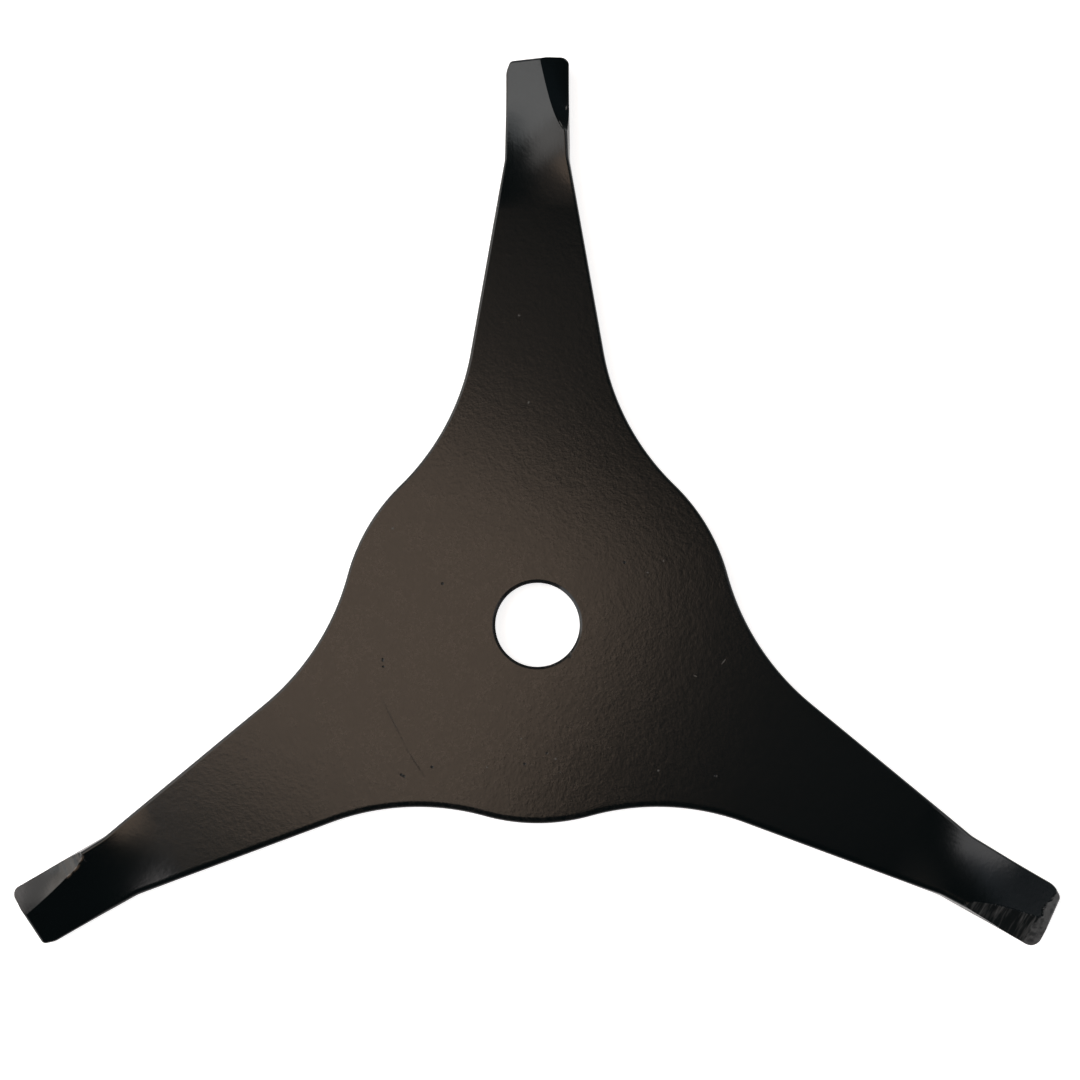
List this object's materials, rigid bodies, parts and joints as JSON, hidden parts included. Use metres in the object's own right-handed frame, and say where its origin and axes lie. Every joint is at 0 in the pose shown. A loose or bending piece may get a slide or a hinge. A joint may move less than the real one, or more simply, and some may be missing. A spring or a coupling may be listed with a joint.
{
  "type": "brush cutter blade",
  "caption": "Flat steel brush cutter blade with a centre bore and long tapered arms whose ends are twisted and ground to a cutting bevel.",
  "frame": {"origin": "centre of the bore at mid thickness of the plate", "axes": "+Z along the bore, out of the face with the rolled rims and the ground bevels; +Y along one arm"},
  "size_m": [0.311, 0.2701, 0.0089],
  "materials": {
    "powder_coat": "satin"
  },
  "bodies": {
    "root": {"blade": "powder_coat"}
  },
  "joints": []
}
